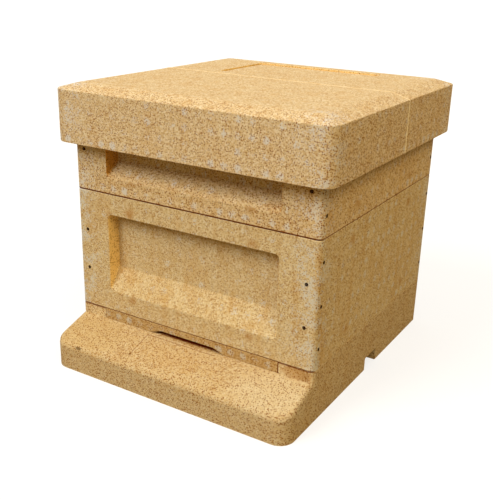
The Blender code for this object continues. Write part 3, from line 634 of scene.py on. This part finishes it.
def close_fingers(shape, box, side, pitch):
    """Draws a wall's finger joints tight, as glue and stain leave them, but the super's ends less so."""
    gap = 0.02 * MM
    end_gap = 0.25 * MM if box == "super" else gap
    slack = 0.4 * MM
    low, high = BOXES[box]
    for point in shape.verts:
        x, y, z = point.co.x, point.co.y - BODY_Y, point.co.z
        if side in ("front", "back") and abs(abs(x) - INNER_HALF_WIDTH) < slack:
            point.co.x = copysign(INNER_HALF_WIDTH - end_gap, x)
        if side in ("left", "right") and abs(abs(y) - INNER_HALF_DEPTH) < slack:
            point.co.y = BODY_Y + copysign(INNER_HALF_DEPTH - gap, y)
        step = round((z - low) / pitch - 0.5) + 0.5
        level = low + step * pitch
        between = low + pitch < z < high - pitch
        if between and abs(z - level) < slack and on_corner(x, y):
            point.co.z = level + copysign(gap, z - level)


def dress_wall(box, side, material):
    """A wall of a box with its rim, its recess and its outer edges rounded."""
    foam = settings().foam
    node = f"{box}_{side}_wall"
    shape = merged_copy(node)
    close_fingers(shape, box, side, settings().screws.pitch)
    low, high = BOXES[box]
    face = {"front": FRONT, "back": BACK}.get(side)
    if face is not None:
        half = HALF_WIDTH - foam.recess_inset
        shallowest, deepest = 15 * MM, 35 * MM

        def in_panel(point):
            return abs(point.x) < half + 1 * MM and low + 8 * MM < point.z < high - 8 * MM

        soften(shape, lambda p: in_panel(p) and shallowest < abs(p.y - face) < deepest, foam.inner_rim, 3)
        soften(shape, lambda p: in_panel(p) and near(p.y, face), foam.rim, 3)

    joint = BROOD_HIGH.z if box == "brood" else SUPER_LOW.z
    plain = SUPER_HIGH.z if box == "super" else BROOD_LOW.z
    soften(shape, lambda p: near(p.z, joint) and on_outside(p), foam.joint_edge)
    soften(shape, lambda p: near(p.z, plain) and on_outside(p), foam.edge)
    finish_piece(shape, f"stained_{node}", f"{box}_box", material, node)


def dress_roof(material):
    """The roof, drawn in by the height of its mould line, with its hip and its edges rounded."""
    foam, mould = settings().foam, settings().mould
    shape = merged_copy("roof")
    middle = (ROOF_LOW + ROOF_HIGH) / 2
    shrink_x = 1 - mould.ridge_height / (ROOF_HIGH.x - middle.x)
    shrink_y = 1 - mould.ridge_height / (ROOF_HIGH.y - middle.y)
    # Above these heights lie the top and the hip's foot, and this far beyond the walls lies the skirt
    near_top, near_hip, clear = ROOF_HIGH.z - 5 * MM, ROOF_HIGH.z - 20 * MM, 5 * MM
    for point in shape.verts:
        outside = abs(point.co.x) > HALF_WIDTH + clear or abs(point.co.y - middle.y) > HALF_DEPTH + clear
        if outside or point.co.z > near_top:
            point.co.x = middle.x + (point.co.x - middle.x) * shrink_x
            point.co.y = middle.y + (point.co.y - middle.y) * shrink_y
        if point.co.z > near_hip and outside or point.co.z > near_top:
            point.co.z -= mould.ridge_height
    top = ROOF_HIGH.z - mould.ridge_height
    eaves = max(p.co.z for p in shape.verts if p.co.z < top - 5 * MM)
    # Between the sides of the sunk panel and the hip
    beside_panel = 200 * MM
    soften(shape, lambda p: near(p.z, top) and abs(p.x) > beside_panel, foam.top_edge, 3)
    soften(shape, lambda p: near(p.z, top) and abs(p.x) < beside_panel, foam.panel_edge, 3)
    soften(shape, lambda p: near(p.z, eaves), foam.hip_edge, 3)
    soften(shape, lambda p: near(p.z, ROOF_LOW.z), foam.skirt_edge)
    ridge = ridge_from(shape)
    finish_piece(shape, "stained_roof", "roof", material, "roof")
    flash = make_material("thinly_stained_ridge", mould_flash)
    finish_piece(ridge, "roof_mould_ridge", "roof", flash)


def ridge_from(roof):
    """A low ridge over the roof's skin, cut from a slice of the roof and thickened outwards."""
    mould = settings().mould
    crest_share = 0.55
    lower_lip = 0.6 * MM
    strip = roof.copy()
    for side in (-1, 1):
        place = (0, mould.ridge_y + side * mould.ridge_width / 2, 0)
        bmesh.ops.bisect_plane(
            strip, geom=strip.verts[:] + strip.edges[:] + strip.faces[:], dist=0.001 * MM,
            plane_co=place, plane_no=(0, side, 0), clear_outer=True,
        )
    inner = []
    for face in strip.faces:
        centre = face.calc_center_median()
        within = abs(centre.x) < HALF_WIDTH + 5 * MM and centre.z < ROOF_HIGH.z - 5 * MM
        if within or centre.z < ROOF_LOW.z + lower_lip:
            inner.append(face)
    bmesh.ops.delete(strip, geom=inner, context="FACES")
    grown = bmesh.ops.solidify(strip, geom=strip.faces[:], thickness=-mould.ridge_height)
    for point in points_of(grown):
        point.co.y = mould.ridge_y + crest_share * (point.co.y - mould.ridge_y)
    return strip


class BEEHIVE_OT_boxes(Operator):
    """Dress the walls of the brood box and the super"""

    bl_idname = "beehive.boxes"
    bl_label = "Boxes"

    def execute(self, context):
        foam = settings().foam
        half = Vector((INNER_HALF_WIDTH + 0.3 * MM, INNER_HALF_DEPTH + 0.3 * MM, 1.0))
        # The seams are painted shade along the joints at the foot of each box
        # run is thick stain on the ends of the recesses, painted lighter and warmer as painted bounce light
        # worn pales the upright corners: worn stain, and painted light where the faces brighten toward a
        # corner
        looks = {
            "brood": dict(
                vents=(0.3, 0.6), worn=0.6, pits=0.8, amber=(0.4, 0.45, 0.75), coat=(0.925, 0.965, 0.94),
                run=foam.yellow, seams=[(2, BROOD_LOW.z, 1.8 * MM, 0.0)],
            ),
            "super": dict(
                vents=(0.4, 0.4), vents_low=0.8, worn=0.5, pits=1.3, amber=(0.4, 0.35, 0.8),
                coat=(0.99, 1.015, 1.0), run=foam.orange, seams=[(2, SUPER_LOW.z, 3.2 * MM, 0.65)],
            ),
        }
        # Height between the ejector pins, and how far they stand from there and from each face's middle
        pins = {
            "brood": (113.5 * MM, Vector((126, 129, 83)) * MM),
            "super": (75 * MM, Vector((121, 120, 48)) * MM),
        }
        for box, choices in looks.items():
            low = BOXES[box][0]
            middle = Vector((0, BODY_Y, low))
            level, reach = pins[box]
            made = make_material(
                f"stained_polystyrene_{box}", stained_polystyrene, middle, inside=(middle, half),
                pins=(Vector((0, BODY_Y, low + level)), reach), **choices,
            )
            for side in ("front", "back", "left", "right"):
                dress_wall(box, side, made)
        return {"FINISHED"}


class BEEHIVE_OT_roof(Operator):
    """Dress the roof and give it its mould line"""

    bl_idname = "beehive.roof"
    bl_label = "Roof"

    def execute(self, context):
        foam = settings().foam
        # The lowest row of vents is 9 mm above the roof's lower edge
        middle = Vector((0, BODY_Y, ROOF_LOW.z + 9 * MM - foam.vent_pitch / 2))
        ceiling = 0.5 * (CROWN_TOP + ROOF_HIGH.z)
        inside = (Vector((0, BODY_Y, 0)), Vector((HALF_WIDTH + 3 * MM, HALF_DEPTH + 3 * MM, ceiling)))
        # Painted light: gold on the back wall of the roof's sunk panel, and as run on its side walls, makes
        # those shaded walls lighter
        back_of_panel = ((0, 239.65, 512), (190, 3.5, 5), foam.gold, 0.5)
        dress_roof(make_material(
            "stained_polystyrene_roof", stained_polystyrene, middle, vents=(0.52, 0.45), vents_low=0.85,
            worn=0.4, cream=1.0, pits=1.15, amber=(0.3, 0.4, 0.8), coat=(0.985, 1.025, 1.07),
            run=foam.gold, inside=inside, marks=[back_of_panel],
        ))
        return {"FINISHED"}


class BEEHIVE_OT_floor(Operator):
    """Dress the floor and its entrance block, and draw the lines of the mould's insert"""

    bl_idname = "beehive.floor"
    bl_label = "Floor"

    def execute(self, context):
        foam = settings().foam
        # Thick stain beside the block and on the board, painted shade in and before the slot, a darker
        # brown in the dent of the front edge, and a dot
        marks = [
            ((216, -219, 87), (36, 3, 14), foam.rust, 0.7),
            ((-5, -256, 64), (84, 34, 60), foam.amber, 0.15),
            ((-190, -262, 64), (80, 50, 60), foam.ochre, 0.45),
            ((190, -262, 64), (80, 50, 60), foam.cream, 0.35),
            # Painted shade: rust over the board in and before the slot, and near-black brown further in,
            # under the block
            ((-4, -200, 77), (140, 24, 12), foam.rust, 0.85),
            ((-4, -204.5, 77), (130, 12.5, 12), foam.slot_shade, 1.0),
            # A darker brown in the dent of the front edge, and a dot on the board
            ((-187.5, -301, 48), (8, 5, 3), foam.dark_brown, 0.75),
            ((-85, -278, 58.5), (2.6, 3.4, 3), foam.dark_brown, 0.7),
        ]
        # Its seam is painted shade along the joint under the brood box
        made = make_material(
            "stained_polystyrene_floor", stained_polystyrene, Vector((0, BODY_Y, 0)), vents=(0.0, 0.0),
            cream=0.75, pits=1.3, amber=(0.3, 0.2, 0.9), coat=(0.88, 0.93, 0.95), marks=marks,
            seams=[(2, FLOOR_TOP, 1.6 * MM, 0.0)],
        )
        self.dress_base(made, foam.edge)
        middle = Vector((2 * MM, BODY_Y, (BLOCK_LOW.z + BLOCK_HIGH.z - foam.vent_pitch) / 2))
        # The seams are painted shade in the gaps at the ends of the block
        seams = [(0, BLOCK_HIGH.x, 1.2 * MM, 1.0), (0, BLOCK_LOW.x, 0.8 * MM, 1.0)]
        # Painted shade: the coat darkens and warms the whole block, which sits in the shade between the
        # landing and the brood box
        thin = make_material(
            "thinly_stained_polystyrene", stained_polystyrene, middle, vents=(0.8, 0.8), cream=0.5,
            pits=1.2, amber=(0.35, 0.1, 0.9), coat=(0.79, 0.77, 0.67), seams=seams,
        )
        self.dress_block(thin, foam.edge)
        self.draw_lines()
        return {"FINISHED"}

    def dress_base(self, material, radius):
        """The floor with the edges round its top and its entrance rounded."""
        shape = merged_copy("floor_base")
        beside = HALF_WIDTH - 20 * MM
        soften(shape, lambda p: near(p.z, FLOOR_TOP) and on_outside(p), radius)
        soften(shape, lambda p: near(p.y, FRONT) and abs(p.x) < beside, radius, upright=True)
        bmesh.ops.remove_doubles(shape, verts=shape.verts, dist=0.001 * MM)
        finish_piece(shape, "stained_floor", "floor", material, "floor_base")

    def dress_block(self, material, radius):
        """The entrance block with its front edges rounded."""
        block = "entrance_block"
        shape = merged_copy(block)
        soften(shape, lambda p: near(p.y, BLOCK_LOW.y), radius)
        finish_piece(shape, "stained_entrance_block", block, material, block)

    def draw_lines(self):
        """Fine raised lines on the landing board, half sunk in it, that stained brown."""
        mould = settings().mould
        brown = make_material("stained_mould_line", scuffed_coat, settings().foam.pit, 0.8, 1.45, 3 * MM)
        shape = bmesh.new()
        left, right, upper, foot = mould.line_x, mould.line_x_end, mould.line_y, mould.line_y_end
        corners = ((left, foot), (left, upper), (right, upper))
        places = [Vector((x, y, mould.sill + mould.fall * (y - FRONT))) for x, y in corners]
        for start, end in zip(places, places[1:]):
            run = end - start
            turn = run.to_track_quat("Z", "X").to_matrix().to_4x4()
            bmesh.ops.create_cone(
                shape, cap_ends=True, segments=8, radius1=mould.line, radius2=mould.line,
                depth=run.length + mould.line, matrix=Matrix.Translation((start + end) / 2) @ turn,
            )
        finish_piece(shape, "landing_mould_lines", "floor", brown)


class BEEHIVE_OT_mesh(Operator):
    """Weave the floor's wire mesh and fold its hem"""

    bl_idname = "beehive.mesh"
    bl_label = "Mesh"

    def execute(self, context):
        inside = settings().inside
        wire = make_material("stainless_wire", grey_metal, inside.wire, 3 * MM, 0.35)
        zinc = make_material("zinc_coated_hem", grey_metal, inside.zinc, 7 * MM, 0.38)
        self.wires("mesh_wires_across", 0, wire)
        self.wires("mesh_wires_along", 1, wire)
        self.hem(zinc)
        return {"FINISHED"}

    def wires(self, name, axis, material):
        """All wires along one axis, each over and under the others, and its neighbour the other way."""
        inside = settings().inside
        middle = (MESH_LOW + MESH_HIGH) / 2
        level = MESH_LOW.z + inside.wire_width
        reach = (MESH_HIGH - MESH_LOW) / 2 - Vector((inside.hem, inside.hem, 0)) / 2
        crossings = 2 * int(reach[axis] / inside.wire_pitch)
        count = 2 * int(reach[1 - axis] / inside.wire_pitch)
        run = crossings * inside.wire_pitch
        shape = bmesh.new()
        radius = inside.wire_width / 2
        turn = Vector([(1, 0, 0), (0, 1, 0)][axis]).to_track_quat("Z", "Y").to_matrix().to_4x4()
        bmesh.ops.create_cone(
            shape, cap_ends=True, segments=4, radius1=radius, radius2=radius, depth=run, matrix=turn,
        )
        long_edges = [e for e in shape.edges if e.calc_length() > run / 2]
        bmesh.ops.subdivide_edges(shape, edges=long_edges, cuts=crossings - 1)
        waves = [shape, shape.copy()]
        for phase, wave in enumerate(waves):
            for point in wave.verts:
                station = round(point.co[axis] / inside.wire_pitch)
                up = 1 if (station + phase + axis) % 2 else -1
                point.co.z += up * radius
        whole = bmesh.new()
        for row in range(-(count // 2), count // 2 + 1):
            mesh = bpy.data.meshes.new("one_wire")
            waves[row % 2].to_mesh(mesh)
            shift = [middle.x, middle.y, level]
            shift[1 - axis] += row * inside.wire_pitch
            mesh.transform(Matrix.Translation(shift))
            whole.from_mesh(mesh)
            bpy.data.meshes.remove(mesh)
        for wave in waves:
            wave.free()
        finish_piece(whole, name, "floor", material, "floor_mesh", sharp=60)

    def hem(self, material):
        """The strip of sheet that is folded over the edge of the mesh."""
        inside = settings().inside
        shape = bmesh.new()
        middle = (MESH_LOW + MESH_HIGH) / 2
        size = MESH_HIGH - MESH_LOW
        bmesh.ops.create_grid(shape, x_segments=1, y_segments=1, size=0.5)
        bmesh.ops.scale(shape, verts=shape.verts, vec=(size.x, size.y, 1))
        inner = shape.faces[:]
        bmesh.ops.inset_individual(shape, faces=inner, thickness=inside.hem)
        bmesh.ops.delete(shape, geom=inner, context="FACES")
        bmesh.ops.solidify(shape, geom=shape.faces[:], thickness=size.z)
        bmesh.ops.translate(shape, verts=shape.verts, vec=(middle.x, middle.y, MESH_HIGH.z))
        edges = [e for e in shape.edges if e.calc_face_angle(0) > radians(40)]
        bmesh.ops.bevel(
            shape, geom=edges, offset=0.7 * MM, offset_type="OFFSET", affect="EDGES", segments=3,
            profile=0.5, material=-1,
        )
        finish_piece(shape, "mesh_hem", "floor", material, "floor_mesh")


class BEEHIVE_OT_inside(Operator):
    """Dress the frames, the wax, the metal strips, the excluder, the crown board and the tray"""

    bl_idname = "beehive.inside"
    bl_label = "Inside"

    def execute(self, context):
        inside = settings().inside
        pine = {}
        for box in BOXES:
            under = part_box(f"{box}_frame_01")[1].z - inside.top_bar
            turned = (inside.side_bar, under)
            pine[box] = make_material(f"planed_pine_{box}", planed_softwood, 3 * MM, turned)
        lath = make_material("pine_lath", planed_softwood, 4 * MM)
        birch = make_material("birch_plywood", birch_plywood)
        wax = make_material("beeswax", beeswax)
        zinc = make_material("zinc_coated_sheet", grey_metal, inside.zinc, 7 * MM, 0.38)
        white = make_material("white_polypropylene", scuffed_coat, inside.plastic, 0.4, 1.49, 20 * MM)
        finishes = {
            "brood_frame": pine["brood"], "super_frame": pine["super"], "rim": lath, "foundation": wax,
            "runner": zinc, "castellation": zinc, "excluder": zinc, "tray": white, "crown_board": birch,
        }
        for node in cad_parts:
            found = [word for word in finishes if word in node]
            if found:
                repaint(node, finishes[found[0]])
            if "frame" in node or "rim" in node:
                ease_edges(node, inside.eased)
        return {"FINISHED"}


class BEEHIVE_OT_screws(Operator):
    """Put the screws in the finger joints"""

    bl_idname = "beehive.screws"
    bl_label = "Screws"

    def execute(self, context):
        tone = settings().screws.steel
        steel = make_material("phosphated_steel", scuffed_coat, tone, 0.7, 1.3, 2 * MM, gloss=0.03)
        shapes = {box: bmesh.new() for box in BOXES}
        head = self.head()
        for box, place, facing in self.places():
            turn = facing.to_track_quat("Z", "Y").to_matrix().to_4x4()
            copy = head.copy()
            copy.transform(Matrix.Translation(place) @ turn)
            shapes[box].from_mesh(copy)
            bpy.data.meshes.remove(copy)
        bpy.data.meshes.remove(head)
        for box, shape in shapes.items():
            finish_piece(shape, f"{box}_screws", f"{box}_box", steel)
        return {"FINISHED"}

    def places(self):
        """Each screw's box, place and the way that it faces."""
        screws = settings().screws
        for box, (low, high) in BOXES.items():
            for step in range(1, round((high - low) / screws.pitch)):
                z = low + step * screws.pitch
                for x, y in ((-1, -1), (-1, 1), (1, -1), (1, 1)):
                    if step % 2:
                        place = (x * HALF_WIDTH, BODY_Y + y * (HALF_DEPTH - screws.from_front), z)
                        yield box, Vector(place), Vector((x, 0, 0))
                    else:
                        place = (x * (HALF_WIDTH - screws.from_side), BODY_Y + y * HALF_DEPTH, z)
                        yield box, Vector(place), Vector((0, y, 0))

    def head(self):
        """A screw head that looks up: a low dome with a cross recess, sunk a little in the foam."""
        screws = settings().screws
        radius = screws.head / 2
        outer_ring, fall, recess_depth = 0.95, 0.65, 0.9
        shape = bmesh.new()
        bmesh.ops.create_grid(shape, x_segments=5, y_segments=5, size=1)
        # The grid's lines move to the arms of the cross, and its outer ring to the round edge
        lines = {1: radius, 0.6: screws.cross / 2, 0.2: screws.slot / 2}
        for point in shape.verts:
            for axis in (0, 1):
                side = point.co[axis]
                nearest = min(lines, key=lambda line: abs(abs(side) - line))
                point.co[axis] = copysign(lines[nearest], side)
            if max(abs(point.co.x), abs(point.co.y)) > outer_ring * radius:
                point.co = radius * point.co.normalized()
            away = Vector((point.co.x, point.co.y)).length / radius
            point.co.z = screws.rise * (1 - fall * away * away)
        reach = screws.cross / 2 + 0.01 * MM
        arms = []
        for face in shape.faces:
            x, y = (abs(v) for v in face.calc_center_median()[:2])
            if min(x, y) < screws.slot / 4 and max(x, y) < reach:
                arms.append(face)
        sunk = bmesh.ops.extrude_face_region(shape, geom=arms)
        bmesh.ops.delete(shape, geom=arms, context="FACES")
        bmesh.ops.translate(shape, verts=points_of(sunk), vec=(0, 0, -recess_depth * screws.rise))
        rim = bmesh.ops.extrude_edge_only(shape, edges=[e for e in shape.edges if e.is_boundary])
        for point in points_of(rim):
            point.co.z = -screws.rise
        bmesh.ops.contextual_create(shape, geom=[e for e in shape.edges if e.is_boundary])
        return mesh_of(shape, "screw_head")


class BEEHIVE_OT_stage(Operator):
    """Set up the camera, the lamps and the white floor"""

    bl_idname = "beehive.stage"
    bl_label = "Stage"

    def execute(self, context):
        stage = settings().stage
        scene = context.scene
        lens = bpy.data.cameras.new("camera")
        lens.sensor_width = 36
        lens.lens = stage.focal
        lens.shift_x, lens.shift_y = (shift / IMAGE_HEIGHT for shift in CAMERA_SHIFT)
        camera = add_object("camera", lens)
        camera.location = stage.camera_place
        camera.rotation_euler = stage.camera_turn
        scene.camera = camera

        # Soft lamps that shine from their place to the hive's foot
        spread = radians(30)
        lamps = (
            ("softbox", stage.sun, (1, 1, 1), (-1.0, -1.85, 1.75)),
            ("reflector", stage.fill, stage.warm, (1.25, -0.7, 1.6)),
        )
        for name, strength, tint, place in lamps:
            sun = bpy.data.lights.new(name, "SUN")
            sun.energy = strength
            sun.angle = spread
            sun.color = tint
            lamp = add_object(name, sun)
            lamp.location = place
            lamp.rotation_euler = (-lamp.location).to_track_quat("-Z", "Y").to_euler()

        self.make_world(scene, stage)
        self.make_floor(stage)
        scene.view_settings.view_transform = "Standard"
        return {"FINISHED"}

    def make_world(self, scene, stage):
        """White light overhead and warm light all round, and plain white for the camera and in gloss."""
        world = bpy.data.worlds.new("studio")
        world.use_nodes = True
        world.node_tree.nodes.clear()
        add = adder(world.node_tree)
        way = add("SeparateXYZ", add("TexCoord").outputs["Generated"]).outputs
        share = add("MapRange", way[2], 0.05, 1.0, **SOFT)
        tint = add("Mix", share, stage.warm, (1, 1, 1), **COLOURS)
        strength = add("MapRange", share, 0, 1, stage.room, stage.sky)
        light = add("Background", tint, strength)
        white = add("Background", (1, 1, 1), 1.0)
        path = add("LightPath").outputs
        seen = path["Is Camera Ray"]
        for name in ("Is Glossy Ray", "Is Transmission Ray"):
            seen = add("Math MAXIMUM", seen, path[name])
        add("OutputWorld", add("MixShader", seen, light, white))
        scene.world = world

    def make_floor(self, stage):
        """A wide disc of white paper that keeps the hive's shadow."""
        horizon = 30.0
        shape = bmesh.new()
        bmesh.ops.create_circle(shape, cap_ends=True, radius=horizon, segments=64)
        mesh = mesh_of(shape, "floor")
        mesh.materials.append(make_material("white_paper", white_paper, stage))
        floor = add_object("floor", mesh)


class Beehive(PropertyGroup):
    """All settings of the hive."""

    foam: PointerProperty(type=FoamSettings)
    mould: PointerProperty(type=MouldSettings)
    screws: PointerProperty(type=ScrewSettings)
    inside: PointerProperty(type=InsideSettings)
    stage: PointerProperty(type=StageSettings)


class BEEHIVE_PT_panel(Panel):
    """Lists the hive's settings and its operators."""

    bl_label = "Beehive"
    bl_idname = "BEEHIVE_PT_panel"
    bl_space_type = "VIEW_3D"
    bl_region_type = "UI"
    bl_category = "Beehive"

    def draw(self, context):
        layout = self.layout
        for operator in OPERATORS:
            layout.operator(operator.bl_idname)
        for part in Beehive.__annotations__:
            group = getattr(settings(), part)
            box = layout.box()
            for name in group.__annotations__:
                box.prop(group, name)


OPERATORS = (
    BEEHIVE_OT_stage, BEEHIVE_OT_boxes, BEEHIVE_OT_roof, BEEHIVE_OT_floor, BEEHIVE_OT_screws,
    BEEHIVE_OT_mesh, BEEHIVE_OT_inside,
)
GROUPS = (FoamSettings, MouldSettings, ScrewSettings, InsideSettings, StageSettings, Beehive)
CLASSES = (*GROUPS, *OPERATORS, BEEHIVE_PT_panel)


def register():
    """Makes the classes known to Blender."""
    for item in CLASSES:
        bpy.utils.register_class(item)
    bpy.types.Scene.beehive = PointerProperty(type=Beehive)


def unregister():
    """Takes the classes back."""
    del bpy.types.Scene.beehive
    for item in reversed(CLASSES):
        bpy.utils.unregister_class(item)


def main():
    """Dresses the hive and sets the stage."""
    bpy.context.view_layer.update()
    register()
    for operator in OPERATORS:
        group, name = operator.bl_idname.split(".")
        getattr(getattr(bpy.ops, group), name)()
    bpy.context.view_layer.update()


if __name__ == "__main__":
    main()
